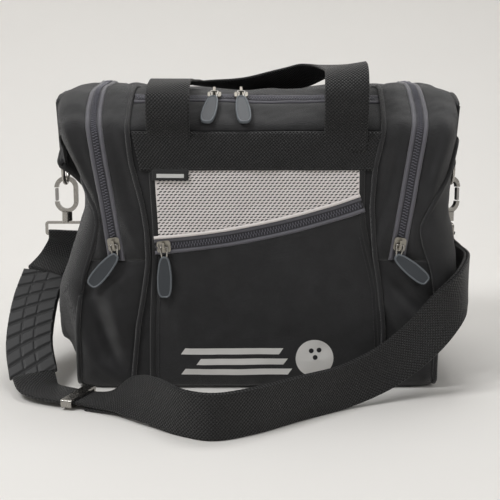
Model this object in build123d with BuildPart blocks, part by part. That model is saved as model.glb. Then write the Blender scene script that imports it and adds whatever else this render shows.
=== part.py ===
"""Single-ball bowling bag: a soft tote with a centre ball compartment, a zipped pocket at each
end, a flat zipped pocket on the front, two carry handles and a clip-on shoulder strap.

Frame: +Z up, the front faces -Y, the origin is the middle of the base.  All sizes in mm.
"""
from build123d import *
import math
import os

os.makedirs("parts", exist_ok=True)

# ---- bag body --------------------------------------------------------------------------------
bag_height = 268
bag_depth = 236
half_depth = bag_depth / 2
shoulder_half_width = 185       # widest place, high on the end pockets
bulge_half_width = 180          # low bulge of the end pockets
bulge_height = 55
base_half_width = 168
left_waist = (150, 176)         # half width and height of the pinched place on the left end
right_waist = (170, 185)        # the right end keeps more of its shape
plan_corner_radius = 30
front_edge_height = 236         # where the upright front turns into the top
zip_facet_low = (97, 252)       # distance in front of the middle, and height
zip_facet_high = (60, 268)

# ---- layers and seams ------------------------------------------------------------------------
wall = 4                        # padded polyester wall
pocket_skin = 3
pocket_gap = 6                  # room inside the flat front pocket
front_wall = pocket_skin + pocket_gap + 3
webbing_skin = 2
piping = 2.5
seam_gap = 0.1                  # between the base and the end pockets' walls
tape_thickness = 2
coil_height = 1.2
coil_half_width = 2.8
zip_half_width = 7.3
divider_face = 109              # inner face of the wall beside the ball compartment
divider_thickness = 3
divider_outer = divider_face + divider_thickness

# ---- front pocket ----------------------------------------------------------------------------
pocket_half_width = 98
pocket_bottom = 8
band_bottom = 198
band_top = 232
band_half_width = 107
label_span = (-91, -59)
label_height = 8.5
front_zip_left = (-82, 131)
front_zip_right = (92, 168)
front_zip_sag = 6

# ---- end pocket zips: distance from the middle, height ---------------------------------------
end_zip_low = (126, 133)
end_zip_bend = (144, 250)
end_pocket_seam_height = 118
outer_seam = [(176, 300), (174, 250), (141, 160), (158, 85), (160, 0)]

# ---- zip sliders and pulls -------------------------------------------------------------------
slider_length = 12
slider_width = 10.5
slider_plate = 1.6
slider_gap = 0.5                # running gap between the slider and the coil
crown_height = 5.2
crown_bar = 1.3
loop_wire = 0.8
loop_reach = 11
tab_length = 37
tab_width = 13
tab_thickness = 2.4

# ---- carry handles ---------------------------------------------------------------------------
handle_width = 38
handle_centre = 77              # half the distance between the two legs
handle_thickness = 3
handle_gap = 4                  # room for a zip pull between a handle's leg and the bag
handle_rise = 32
handle_bend = 20
front_handle_reach = 180
rear_handle_drop = 116

# ---- shoulder strap hardware -----------------------------------------------------------------
ring_radius = 15
ring_wire = 1.9
ring_height = 189
left_ring_x = -188
right_ring_x = 192
ring_tab_width = 12
hook_gap = 1.0                  # hook to ring
hook_width = 23
hook_length = 36.5
hook_bar = 4.2
barrel_radius = 5
barrel_length = 9
stem_radius = 2
stem_gap = 0.06
strap_width = 38
strap_thickness = 2.4
layer_pitch = 3.2               # distance between the two layers of the strap
loop_bar = 2.6
loop_drop = 14
pad_width = 42
pad_thickness = 9

# ---- inside ----------------------------------------------------------------------------------
board_thickness = 3
cup_size = 170
cup_height = 40
ball_radius = 108


def finish(piece, name):
    """Name a finished piece and write its file."""
    piece.part.label = name
    export_step(piece.part, f"parts/{name}.step")


# ---- the bag's outer form, grown or shrunk -----------------------------------------------------
elevation_corners = [
    (-base_half_width, 0), (-bulge_half_width, bulge_height), (-left_waist[0], left_waist[1]),
    (-shoulder_half_width, bag_height), (shoulder_half_width, bag_height),
    (right_waist[0], right_waist[1]), (bulge_half_width, bulge_height), (base_half_width, 0),
]
elevation_radii = [12, 60, 45, 22, 22, 60, 60, 12]
profile_corners = [
    (-half_depth, 0), (-half_depth, front_edge_height), (-zip_facet_low[0], zip_facet_low[1]),
    (-zip_facet_high[0], zip_facet_high[1]), (half_depth, bag_height), (half_depth, 0),
]
profile_radii = [10, 14, 10, 20, 30, 10]


def bag_form(growth):
    """The bag's outer form, with every side moved out by growth (in, where it is negative)."""
    with BuildPart() as form:
        with BuildSketch(Plane.XZ):
            with BuildLine():
                FilletPolyline(*elevation_corners, radius=elevation_radii, close=True)
            make_face()
            if growth:
                offset(amount=growth)
        extrude(amount=bag_depth, both=True)
        with BuildSketch(Plane.YZ):
            with BuildLine():
                FilletPolyline(*profile_corners, radius=profile_radii, close=True)
            make_face()
            if growth:
                offset(amount=growth)
        extrude(amount=2 * shoulder_half_width, both=True, mode=Mode.INTERSECT)
        with BuildSketch(Plane.XY):
            RectangleRounded(
                2 * (shoulder_half_width + growth), bag_depth + 2 * growth,
                plan_corner_radius + growth,
            )
        extrude(amount=2 * bag_height, both=True, mode=Mode.INTERSECT)
    return form.part


growths = (0, piping, webbing_skin, coil_height, -coil_height, -tape_thickness, -pocket_skin,
           -wall, -pocket_skin - pocket_gap, -front_wall)
forms = {growth: bag_form(growth) for growth in growths}


def cut_layer(name, outer, inner, region, y_from=-half_depth - 10, y_to=half_depth + 10):
    """A piece of the bag's wall between two growths, where a region of the front view is."""
    with BuildPart() as piece:
        add(forms[outer])
        add(forms[inner], mode=Mode.SUBTRACT)
        with BuildSketch(Plane.XZ.offset(-y_to)):
            add(region)
        extrude(amount=y_to - y_from, mode=Mode.INTERSECT)
    if name:
        finish(piece, name)
    return piece.part


def rectangle(x_from, x_to, z_from, z_to):
    """A rectangle of the front view."""
    with BuildSketch() as region:
        with Locations(((x_from + x_to) / 2, (z_from + z_to) / 2)):
            Rectangle(x_to - x_from, z_to - z_from)
    return region.sketch


def between(near, far):
    """The region of the front view between two lines that run downwards."""
    left, right = sorted((near, far), key=lambda line: line[0][0])
    with BuildSketch() as region:
        Polygon(*left, *reversed(right), align=None)
    return region.sketch


def shifted(line, shift, sign):
    """A line of points moved away from the middle, on the side that sign gives."""
    return [(sign * (x + shift), z) for x, z in line]


# ---- centre compartment ------------------------------------------------------------------------
with BuildPart() as base_panel:
    add(forms[0])
    with BuildSketch(Plane.XY):
        Rectangle(4 * shoulder_half_width, 2 * bag_depth)
    extrude(amount=wall, mode=Mode.INTERSECT)
finish(base_panel, "base_panel")

front_inside = -half_depth + front_wall
with BuildPart() as front_panel:
    add(cut_layer("", 0, -front_wall, rectangle(-divider_face, divider_face, wall, band_top),
                  y_to=front_inside))
    add(
        cut_layer("", 0, -pocket_skin - pocket_gap,
                  rectangle(-pocket_half_width, pocket_half_width, pocket_bottom, band_bottom),
                  y_to=front_inside),
        mode=Mode.SUBTRACT,
    )
finish(front_panel, "front_panel")

cut_layer("rear_panel", 0, -wall, rectangle(-divider_face, divider_face, wall, band_top), y_from=0)

for side, sign in (("left", -1), ("right", 1)):
    with BuildPart() as divider:
        add(forms[-wall])
        with BuildSketch(Plane.XZ):
            centre = sign * (divider_face + divider_thickness / 2)
            add(rectangle(centre - divider_thickness / 2, centre + divider_thickness / 2,
                          wall, bag_height))
        extrude(amount=half_depth, both=True, mode=Mode.INTERSECT)
    finish(divider, f"{side}_divider")

with BuildPart() as base_board:
    with BuildSketch(Plane.XY.offset(wall)):
        RectangleRounded(2 * divider_face - 8, bag_depth - wall - front_wall - 8, 12)
    extrude(amount=board_thickness)
finish(base_board, "base_board")

cup_base = wall + board_thickness
with BuildPart() as foam_ball_cup:
    with BuildSketch(Plane.XY.offset(cup_base)):
        RectangleRounded(cup_size, cup_size, 25)
    extrude(amount=cup_height)
    with Locations((0, 0, cup_base + 9 + ball_radius)):
        Sphere(ball_radius, mode=Mode.SUBTRACT)
finish(foam_ball_cup, "foam_ball_cup")

# ---- top, with its zip on the sloping facet ----------------------------------------------------
facet_run = zip_facet_low[0] - zip_facet_high[0]
facet_rise = zip_facet_high[1] - zip_facet_low[1]
facet_slope = math.atan2(facet_rise, facet_run)
top_zip_y = -(zip_facet_low[0] + zip_facet_high[0]) / 2
top_zip_z = (zip_facet_low[1] + zip_facet_high[1]) / 2
tape_run = zip_half_width * math.cos(facet_slope)
coil_run = coil_half_width * math.cos(facet_slope)
top_region = rectangle(-divider_face, divider_face, band_top, 2 * bag_height)

cut_layer("top_front_strip", 0, -wall, top_region, y_to=top_zip_y - tape_run)
cut_layer("top_rear_panel", 0, -wall, top_region, y_from=top_zip_y + tape_run)
cut_layer("top_zip_coil", coil_height, -coil_height, top_region,
          y_from=top_zip_y - coil_run, y_to=top_zip_y + coil_run)
with BuildPart() as top_zip_tapes:
    add(cut_layer("", 0, -tape_thickness, top_region,
                  y_from=top_zip_y - tape_run, y_to=top_zip_y - coil_run))
    add(cut_layer("", 0, -tape_thickness, top_region,
                  y_from=top_zip_y + coil_run, y_to=top_zip_y + tape_run))
finish(top_zip_tapes, "top_zip_tapes")

# ---- front pocket: panel, zip on an arc, mesh above it, webbing band ---------------------------
zip_chord = math.dist(front_zip_left, front_zip_right)
front_zip_radius = zip_chord**2 / (8 * front_zip_sag) + front_zip_sag / 2
zip_tilt = math.atan2(front_zip_right[1] - front_zip_left[1],
                      front_zip_right[0] - front_zip_left[0])
arc_lift = front_zip_radius - front_zip_sag
front_zip_centre = (
    (front_zip_left[0] + front_zip_right[0]) / 2 - arc_lift * math.sin(zip_tilt),
    (front_zip_left[1] + front_zip_right[1]) / 2 + arc_lift * math.cos(zip_tilt),
)
pocket_region = rectangle(-pocket_half_width, pocket_half_width, pocket_bottom, band_bottom)


def zip_disc(radius_change):
    """The disc of the front view that the curved zip bounds, made larger by radius_change."""
    with BuildSketch() as disc:
        with Locations(front_zip_centre):
            Circle(front_zip_radius + radius_change)
    return disc.sketch


def pocket_strip(name, outer, inner, low, high):
    """A strip of the front pocket's face between two arcs about the zip's line."""
    with BuildSketch() as region:
        add(pocket_region)
        if low is not None:
            add(zip_disc(low), mode=Mode.INTERSECT)
        if high is not None:
            add(zip_disc(high), mode=Mode.SUBTRACT)
    return cut_layer(name, outer, inner, region.sketch, y_to=0)


pocket_strip("front_pocket_panel", 0, -pocket_skin, None, zip_half_width)
pocket_strip("mesh_panel", 0, -pocket_skin, -zip_half_width, None)
pocket_strip("pocket_zip_coil", coil_height, -coil_height, coil_half_width, -coil_half_width)
with BuildPart() as pocket_zip_tapes:
    add(pocket_strip("", 0, -tape_thickness, zip_half_width, coil_half_width))
    add(pocket_strip("", 0, -tape_thickness, -coil_half_width, -zip_half_width))
finish(pocket_zip_tapes, "pocket_zip_tapes")

band_region = rectangle(-band_half_width, band_half_width, band_bottom, band_top)
cut_layer("front_band", webbing_skin, 0, band_region, y_to=0)
cut_layer("rear_band", webbing_skin, 0, band_region, y_from=0)
cut_layer("side_label", coil_height, 0,
          rectangle(*label_span, band_bottom - label_height, band_bottom), y_to=0)

# ---- end pockets -------------------------------------------------------------------------------
zip_slope = (end_zip_bend[0] - end_zip_low[0]) / (end_zip_bend[1] - end_zip_low[1])
zip_foot = (end_zip_low[0] - zip_slope * (end_zip_low[1] - end_pocket_seam_height),
            end_pocket_seam_height)
zip_line = [(end_zip_bend[0], 2 * bag_height), end_zip_bend, zip_foot]
seam_above = [point for point in outer_seam if point[1] > end_pocket_seam_height]
(seam_waist_x, seam_waist_z), (seam_hip_x, seam_hip_z), (seam_base_x, seam_base_z) = outer_seam[-3:]
seam_share = (seam_waist_z - end_pocket_seam_height) / (seam_waist_z - seam_hip_z)
seam_cut = (seam_waist_x + (seam_hip_x - seam_waist_x) * seam_share, end_pocket_seam_height)
seam_upper = seam_above + [seam_cut]
seam_lower = [seam_cut, (seam_hip_x, seam_hip_z), (seam_base_x, wall + seam_gap)]
inner_line = [(divider_outer, 2 * bag_height), (divider_outer, end_pocket_seam_height)]
inner_lower = [(divider_outer, end_pocket_seam_height), (divider_outer, wall + seam_gap)]
far_line = [(3 * shoulder_half_width, 2 * bag_height), (3 * shoulder_half_width, wall + seam_gap)]

for side, sign in (("left", -1), ("right", 1)):
    cut_layer(f"{side}_inner_gusset", 0, -wall,
              between(shifted(inner_line, 0, sign), shifted(zip_line, -zip_half_width, sign)))
    cut_layer(f"{side}_outer_gusset", 0, -wall,
              between(shifted(zip_line, zip_half_width, sign), shifted(seam_upper, 0, sign)))
    cut_layer(f"{side}_end_panel", 0, -wall,
              between(shifted(seam_above + seam_lower, 0, sign), shifted(far_line, 0, sign)))

with BuildPart() as lower_gussets:
    for sign in (-1, 1):
        add(cut_layer("", 0, -wall,
                      between(shifted(inner_lower, 0, sign), shifted(seam_lower, 0, sign))))
finish(lower_gussets, "lower_gussets")

with BuildPart() as end_zip_tapes:
    for sign in (-1, 1):
        for near, far in ((-zip_half_width, -coil_half_width), (coil_half_width, zip_half_width)):
            add(cut_layer("", 0, -tape_thickness,
                          between(shifted(zip_line, near, sign), shifted(zip_line, far, sign))))
finish(end_zip_tapes, "end_zip_tapes")

with BuildPart() as end_zip_coils:
    for sign in (-1, 1):
        add(cut_layer("", coil_height, -coil_height,
                      between(shifted(zip_line, -coil_half_width, sign),
                              shifted(zip_line, coil_half_width, sign))))
finish(end_zip_coils, "end_zip_coils")

inner_seam = [(divider_outer, 2 * bag_height), (divider_outer, wall)]
outer_seam_line = seam_above + seam_lower
for name, line in (("inner_piping", inner_seam), ("outer_piping", outer_seam_line)):
    with BuildPart() as cords:
        for sign in (-1, 1):
            add(cut_layer("", piping, 0,
                          between(shifted(line, -piping, sign), shifted(line, piping, sign))))
    finish(cords, name)

# ---- zip sliders and their pulls ---------------------------------------------------------------


def turned(plane, degrees):
    """A plane turned about its own normal."""
    angle = math.radians(degrees)
    return Plane(origin=plane.origin, z_dir=plane.z_dir,
                 x_dir=plane.x_dir * math.cos(angle) + plane.y_dir * math.sin(angle))


def slider(name, plane, crown_turn):
    """A zip slider: a plate over the coil, two flanges, and the crown that holds the pull.

    In its plane, X is the way that it travels and Z points out of the bag.
    """
    under = coil_height + slider_gap
    flange = coil_half_width + slider_gap
    with BuildPart(plane) as body:
        with BuildSketch(plane.offset(under)):
            RectangleRounded(slider_length, slider_width, 2.5)
        extrude(amount=slider_plate)
        with BuildSketch(plane.offset(slider_gap)):
            with Locations((0, flange + 0.9), (0, -flange - 0.9)):
                Rectangle(slider_length - 5, 1.8)
        extrude(amount=under - slider_gap)
        crown_plane = turned(plane, crown_turn).offset(under + slider_plate)
        with BuildSketch(crown_plane):
            Rectangle(8.4, 2.2)
        extrude(amount=crown_height)
        with BuildSketch(crown_plane):
            Rectangle(5.6, 4)
        extrude(amount=crown_height - crown_bar, mode=Mode.SUBTRACT)
    finish(body, name)


def pull(side_name, plane, loop_direction, tab_direction, loop_tilt=0, tab_tilt=0):
    """The wire loop through the crown, and the rubber tab moulded on its far end.

    The directions are angles in the slider's plane; the tilts turn the loop and the tab down
    towards the bag.
    """
    pivot = coil_height + slider_gap + slider_plate + crown_height - crown_bar - loop_wire - 0.4
    origin = plane.offset(pivot).origin

    def lying(direction, tilt):
        """The plane of a piece that points in a direction, tilted towards the bag."""
        flat = turned(plane, direction)
        tilt = math.radians(tilt)
        return Plane(origin=origin, x_dir=flat.x_dir * math.cos(tilt) - flat.z_dir * math.sin(tilt),
                     z_dir=flat.z_dir * math.cos(tilt) + flat.x_dir * math.sin(tilt))

    loop_plane = lying(loop_direction, loop_tilt)
    with BuildPart() as loop:
        with BuildLine(loop_plane) as path:
            FilletPolyline((0, 3.4), (loop_reach, 1.7), (loop_reach, -1.7), (0, -3.4), radius=1.2,
                           close=True)
        with BuildSketch(Plane(origin=path.wire() @ 0, z_dir=path.wire() % 0)):
            Circle(loop_wire)
        sweep()
    finish(loop, f"{side_name}_pull_loop")
    tab_plane = lying(tab_direction, tab_tilt)
    tab_plane.origin = origin + loop_plane.x_dir * loop_reach - tab_plane.x_dir * 2.6
    with BuildPart() as tab:
        with BuildSketch(tab_plane):
            with BuildLine():
                FilletPolyline((0, -4.2), (0, 4.2), (9, tab_width / 2),
                               (tab_length, tab_width / 2), (tab_length, -tab_width / 2),
                               (9, -tab_width / 2), radius=[2, 3, 5.5, 5.5, 3, 2], close=True)
            make_face()
        extrude(amount=tab_thickness / 2, both=True)
        add(loop.part, mode=Mode.SUBTRACT)
    finish(tab, f"{side_name}_pull_tab")


top_plane = Plane(origin=(0, top_zip_y, top_zip_z), x_dir=(1, 0, 0),
                  z_dir=(0, -math.sin(facet_slope), math.cos(facet_slope)))
zip_sweep = 2 * math.asin(zip_chord / 2 / front_zip_radius)
slider_places = {
    "top_left": (Plane(top_plane.from_local_coords((-38, 0, 0)), x_dir=(1, 0, 0),
                       z_dir=top_plane.z_dir), 90, -90, -100, 8, 13),
    "top_right": (Plane(top_plane.from_local_coords((-14, 0, 0)), x_dir=(1, 0, 0),
                        z_dir=top_plane.z_dir), 90, -90, -84, 8, 13),
    "front": (Plane(origin=(front_zip_left[0], -half_depth, front_zip_left[1]),
                    x_dir=(math.cos(zip_tilt - zip_sweep / 2), 0,
                           math.sin(zip_tilt - zip_sweep / 2)), z_dir=(0, -1, 0)), 90, -90, -95, 0, 0),
    "left": (Plane(origin=(-end_zip_low[0], -half_depth, end_zip_low[1]),
                   x_dir=(-zip_slope, 0, 1), z_dir=(0, -1, 0)), 0, 180, 180 - 50, 0, 0),
    "right": (Plane(origin=(end_zip_low[0], -half_depth, end_zip_low[1]),
                    x_dir=(zip_slope, 0, 1), z_dir=(0, -1, 0)), 0, 180, 180 + 60, 0, 0),
}
for name, (plane, crown_turn, *directions) in slider_places.items():
    slider(f"{name}_slider", plane, crown_turn)
    pull(name, plane, *directions)

# ---- carry handles -----------------------------------------------------------------------------
band_face = half_depth + webbing_skin
leg_outer = band_face + handle_gap + handle_thickness
handle_start = band_top + 4
with BuildPart() as front_handle:
    with BuildSketch(Plane.YZ):
        with BuildLine() as leg:
            FilletPolyline(
                (-leg_outer + handle_thickness / 2, handle_start),
                (-leg_outer + handle_thickness / 2, handle_start + handle_rise + handle_bend),
                (-leg_outer + front_handle_reach, handle_start + handle_rise + handle_bend + 1),
                radius=handle_bend,
            )
            offset(leg.line, amount=handle_thickness / 2, side=Side.BOTH)
        make_face()
    extrude(amount=handle_centre + handle_width / 2, both=True)
    with BuildSketch(Plane.XY.offset(bag_height - bag_depth)):
        with Locations((0, -leg_outer - 1 + (front_handle_reach - handle_width) / 2)):
            Rectangle(2 * handle_centre - handle_width, front_handle_reach - handle_width + 2)
    extrude(amount=2 * bag_depth, mode=Mode.SUBTRACT)
finish(front_handle, "front_handle")

with BuildPart() as rear_handle:
    drop_to = handle_start - rear_handle_drop
    with BuildSketch(Plane.XZ.offset(-band_face - handle_gap - handle_thickness)):
        with Locations((0, (handle_start + drop_to) / 2)):
            Rectangle(2 * handle_centre + handle_width, handle_start - drop_to)
        with Locations((0, (handle_start + drop_to) / 2 + handle_width / 2)):
            Rectangle(2 * handle_centre - handle_width, handle_start - drop_to - handle_width,
                      mode=Mode.SUBTRACT)
    extrude(amount=handle_thickness)
finish(rear_handle, "rear_handle")

# ---- rings on the end panels --------------------------------------------------------------------
ring_places = ((left_ring_x, -1), (right_ring_x, 1))
with BuildPart() as strap_rings:
    with Locations(*[Location((x, 0, ring_height), (0, 90, 0)) for x, sign in ring_places]):
        Torus(ring_radius, ring_wire)
finish(strap_rings, "strap_rings")

with BuildPart() as ring_tabs:
    for x, sign in ring_places:
        inner_x = sign * (left_waist[0] if sign < 0 else right_waist[0]) - sign * 5
        outer_x = x + sign * 4.5
        with Locations(((inner_x + outer_x) / 2, 0, ring_height + ring_radius)):
            Box(abs(outer_x - inner_x), ring_tab_width, 9)
    add(forms[0], mode=Mode.SUBTRACT)
    add(strap_rings.part, mode=Mode.SUBTRACT)
finish(ring_tabs, "ring_tabs")

# ---- snap hooks and swivel loops ----------------------------------------------------------------
hook_top = -(ring_radius - ring_wire - hook_gap - hook_bar)
hook_middle = hook_top - hook_length / 2
hook_side = (hook_width - hook_bar) / 2
gate_top = hook_top - hook_width / 2 - 0.4
gate_end = hook_top - hook_length + hook_width / 2 + 0.5
barrel_top = hook_top - hook_length + 1
barrel_low = barrel_top - barrel_length
loop_top = barrel_low - 0.6
loop_width = strap_width + 0.8 + 2 * loop_bar
loops = {}
for side, x, hook_turn, loop_turn in (
    ("left", left_ring_x, 0, 0),
    ("right", right_ring_x, 210, 90),
):
    hook_plane, loop_plane = (
        Plane(origin=(x, 0, ring_height), x_dir=Vector(math.cos(turn), math.sin(turn), 0),
              z_dir=(math.sin(turn), -math.cos(turn), 0))
        for turn in (math.radians(hook_turn), math.radians(loop_turn))
    )
    with BuildPart() as hook_body:
        with BuildSketch(hook_plane):
            with Locations((0, hook_middle)):
                SlotOverall(hook_length, hook_width, rotation=90)
                SlotOverall(hook_length - 2 * hook_bar, hook_width - 2 * hook_bar, rotation=90,
                            mode=Mode.SUBTRACT)
            with Locations((-hook_side, (gate_top + gate_end) / 2)):
                Rectangle(hook_bar + 2, gate_top - gate_end + 1.6, mode=Mode.SUBTRACT)
        extrude(amount=hook_bar / 2, both=True)
        with BuildSketch(Plane(origin=(x, 0, ring_height + barrel_top), z_dir=(0, 0, -1))):
            Circle(barrel_radius)
        extrude(amount=barrel_length)
        with BuildSketch(Plane(origin=(x, 0, ring_height + barrel_low), z_dir=(0, 0, 1))):
            Circle(stem_radius + stem_gap)
        extrude(amount=barrel_length - 2, mode=Mode.SUBTRACT)
    finish(hook_body, f"{side}_hook_body")

    with BuildPart() as gate:
        with BuildSketch(hook_plane):
            with Locations((-hook_side, (gate_top + gate_end) / 2)):
                RectangleRounded(3, gate_top - gate_end, 1)
        extrude(amount=1.7, both=True)
    finish(gate, f"{side}_hook_gate")

    with BuildPart() as swivel_loop:
        with BuildSketch(loop_plane):
            with Locations((0, loop_top - loop_drop / 2)):
                RectangleRounded(loop_width, loop_drop, 3)
                RectangleRounded(loop_width - 2 * loop_bar, loop_drop - 2 * loop_bar, 1,
                                 mode=Mode.SUBTRACT)
        extrude(amount=loop_bar / 2, both=True)
        with BuildSketch(Plane(origin=(x, 0, ring_height + loop_top - 1), z_dir=(0, 0, 1))):
            Circle(stem_radius)
        extrude(amount=barrel_length - 3)
    finish(swivel_loop, f"{side}_strap_loop")
    loops[side] = swivel_loop.part

# ---- shoulder strap: one route, from the left loop round the front to the right loop -----------
# each station: middle of the webbing, the way its width runs, thickness
loop_low = ring_height + loop_top - loop_drop
wrap = loop_bar + 2 * 2
standing = strap_width / 2 + 0.2
floor_lift = strap_thickness / 2 + layer_pitch + 1.3
stations = [
    ((left_ring_x, 0, loop_low + 4.6), (1, 0, 0), wrap),
    ((left_ring_x - 1, -1, loop_low - 8), (1, 0, 0), 5),
    ((left_ring_x - 8, -9, loop_low - 20), (1, 0, 0), 3),
    ((left_ring_x - 18, -30, loop_low - 32), (1, 0, 0), 5),
    ((left_ring_x - 23, -58, loop_low - 57), (1, 0, 0), pad_thickness),
    ((left_ring_x - 22, -92, loop_low - 86), (1, 0, 0), pad_thickness),
    ((left_ring_x - 13, -121, 14), (1, 0, 0), 5),
    ((-192, -140, 7.5), (0.75, 0.66, 0), strap_thickness),
    ((-172, -152, floor_lift), (0.324, 0.946, 0), strap_thickness),
    ((-137, -164, floor_lift), (0.324, 0.946, 0), strap_thickness),
    ((-112, -182, 16), (0.3, 0.75, 0.55), strap_thickness),
    ((-88, -211, standing + 1), (0.2, 0.3, 0.93), strap_thickness),
    ((-62, -239, standing), (0, 0, 1), strap_thickness),
    ((-34, -251, standing), (0, 0, 1), strap_thickness),
    ((-2, -236, standing), (0, 0, 1), strap_thickness),
    ((36, -205, standing), (0, 0, 1), strap_thickness),
    ((76, -175, standing + 1), (-0.1, 0, 0.99), strap_thickness),
    ((114, -154, 32), (-0.55, 0, 0.83), strap_thickness),
    ((144, -146, 54), (-0.7, 0.05, 0.7), strap_thickness),
    ((166, -137, 76), (-0.7, -0.1, 0.7), strap_thickness),
    ((184, -120, 93), (-0.3, -0.45, 0.84), strap_thickness),
    ((194, -84, 100), (0, -0.3, 0.95), strap_thickness),
    ((194, -45, 102), (0, -0.3, 0.95), strap_thickness),
    ((193, -16, 105), (0, -0.75, 0.66), strap_thickness),
    ((right_ring_x, -2, loop_low - 4), (0, -1, 0.1), 4),
    ((right_ring_x, 0, loop_low + 4.6), (0, -1, 0), wrap),
]
pad_first = 3
pad_last = 6
inner_first = 9
inner_last = 22


def station_plane(index, shift):
    """The plane across the strap at a station, moved to the strap's front side by shift."""
    before = Vector(*stations[max(index - 1, 0)][0])
    after = Vector(*stations[min(index + 1, len(stations) - 1)][0])
    along = (after - before).normalized()
    if index == len(stations) - 1:
        along = Vector(0, 0, 1)
    elif index == 0:
        along = Vector(0, 0, -1)
    across = Vector(*stations[index][1])
    front = along.cross(across).normalized()
    return Plane(origin=Vector(*stations[index][0]) + front * shift, x_dir=across, z_dir=along)


def ribbon(name, first, last, width, shift=0, thickness=None, around=()):
    """A strip of the strap between two stations, clear of the loops that it goes round."""
    with BuildPart() as strip:
        for index in range(first, last + 1):
            with BuildSketch(station_plane(index, shift)):
                Rectangle(width, thickness or stations[index][2])
        loft(ruled=True)
        for part in around:
            add(part, mode=Mode.SUBTRACT)
    finish(strip, name)


ribbon("left_strap_end", 0, pad_first, strap_width, around=[loops["left"]])
ribbon("shoulder_pad", pad_first, pad_last, pad_width)
ribbon("strap_outer_layer", pad_last, len(stations) - 1, strap_width, around=[loops["right"]])
ribbon("strap_inner_layer", inner_first, inner_last, strap_width, -layer_pitch, strap_thickness)

slide_from, slide_to = Vector(*stations[8][0]), Vector(*stations[9][0])
slide_plane = Plane(origin=(slide_from + slide_to) / 2, x_dir=(0, 0, 1),
                    z_dir=(slide_to - slide_from))
slide_clear = 0.5
with BuildPart() as strap_adjuster:
    with BuildSketch(slide_plane):
        RectangleRounded(strap_thickness + 2 * slide_clear + 4, strap_width + 2 * slide_clear + 6, 2)
        Rectangle(strap_thickness + 2 * slide_clear, strap_width + 2 * slide_clear,
                  mode=Mode.SUBTRACT)
    extrude(amount=5, both=True)
finish(strap_adjuster, "strap_adjuster")
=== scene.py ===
"""A soft bag for one bowling ball, dressed in cloth, webbing, rubber and nickel over its CAD frame.

Lengths inside the shaping code are in millimetres; every mesh is written in metres.
"""
import math

import bmesh
import bpy
import numpy as np
from mathutils import Matrix, Vector


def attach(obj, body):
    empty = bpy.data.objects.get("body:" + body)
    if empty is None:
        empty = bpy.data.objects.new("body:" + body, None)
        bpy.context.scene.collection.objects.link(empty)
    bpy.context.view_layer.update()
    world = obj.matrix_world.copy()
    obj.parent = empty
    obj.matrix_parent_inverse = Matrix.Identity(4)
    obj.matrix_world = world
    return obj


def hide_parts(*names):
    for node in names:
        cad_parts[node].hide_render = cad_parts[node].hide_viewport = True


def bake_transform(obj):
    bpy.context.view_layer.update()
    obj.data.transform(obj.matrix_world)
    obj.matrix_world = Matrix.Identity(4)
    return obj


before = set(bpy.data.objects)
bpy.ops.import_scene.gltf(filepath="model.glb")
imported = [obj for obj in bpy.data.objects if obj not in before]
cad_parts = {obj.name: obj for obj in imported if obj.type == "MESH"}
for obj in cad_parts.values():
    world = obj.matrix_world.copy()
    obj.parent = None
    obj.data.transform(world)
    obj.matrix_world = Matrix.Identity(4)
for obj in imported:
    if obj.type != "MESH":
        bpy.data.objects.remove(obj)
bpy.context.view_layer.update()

# ---- camera ----
# A hand camera on a low stand, a little above the bag's top, facing its front pocket.

camera_aim = Vector((-0.006, -0.118, 0.1275))
camera_distance = 0.90
camera_elevation = math.radians(10)
camera_data = bpy.data.cameras.new("camera")
camera_data.angle = math.radians(27.6)
camera = bpy.data.objects.new("camera", camera_data)
camera.location = camera_aim + camera_distance * Vector(
    (0, -math.cos(camera_elevation), math.sin(camera_elevation)))
camera.rotation_euler = (math.pi / 2 - camera_elevation, 0, 0)
bpy.context.scene.collection.objects.link(camera)
bpy.context.scene.camera = camera

# ---- floor, backdrop and light ----
# A white cloth rolled down a wall and over a table, lit by large soft lamps and a pale room.


def material(name, base, roughness):
    """A new material with a Principled shader, as (material, nodes, links, shader)."""
    made = bpy.data.materials.new(name)
    made.use_nodes = True
    nodes, links = made.node_tree.nodes, made.node_tree.links
    shader = nodes["Principled BSDF"]
    shader.inputs["Base Color"].default_value = (*base, 1)
    shader.inputs["Roughness"].default_value = roughness
    return made, nodes, links, shader


def node(nodes, kind, **settings):
    """A new shader node with its settings and the default values of its named sockets."""
    made = nodes.new(kind)
    for key, value in settings.items():
        if key in made.inputs:
            made.inputs[key].default_value = value
        else:
            setattr(made, key, value)
    return made


def grained(name, base, roughness, scale, detail, strength, distance):
    """A material with a fine uneven surface, as (material, nodes, links, shader)."""
    made, nodes, links, shader = material(name, base, roughness)
    coordinates = node(nodes, "ShaderNodeTexCoord")
    grain = node(nodes, "ShaderNodeTexNoise", Scale=scale, Detail=detail)
    bump = node(nodes, "ShaderNodeBump", Strength=strength, Distance=distance)
    links.new(coordinates.outputs["Object"], grain.inputs["Vector"])
    links.new(grain.outputs["Fac"], bump.inputs["Height"])
    links.new(bump.outputs["Normal"], shader.inputs["Normal"])
    return made, nodes, links, shader


def mesh_piece(name, shape):
    """A smooth piece of the scene from a bmesh, which it frees."""
    mesh_data = bpy.data.meshes.new(name)
    shape.to_mesh(mesh_data)
    shape.free()
    piece = bpy.data.objects.new(name, mesh_data)
    bpy.context.scene.collection.objects.link(piece)
    for face in mesh_data.polygons:
        face.use_smooth = True
    return piece


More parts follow.
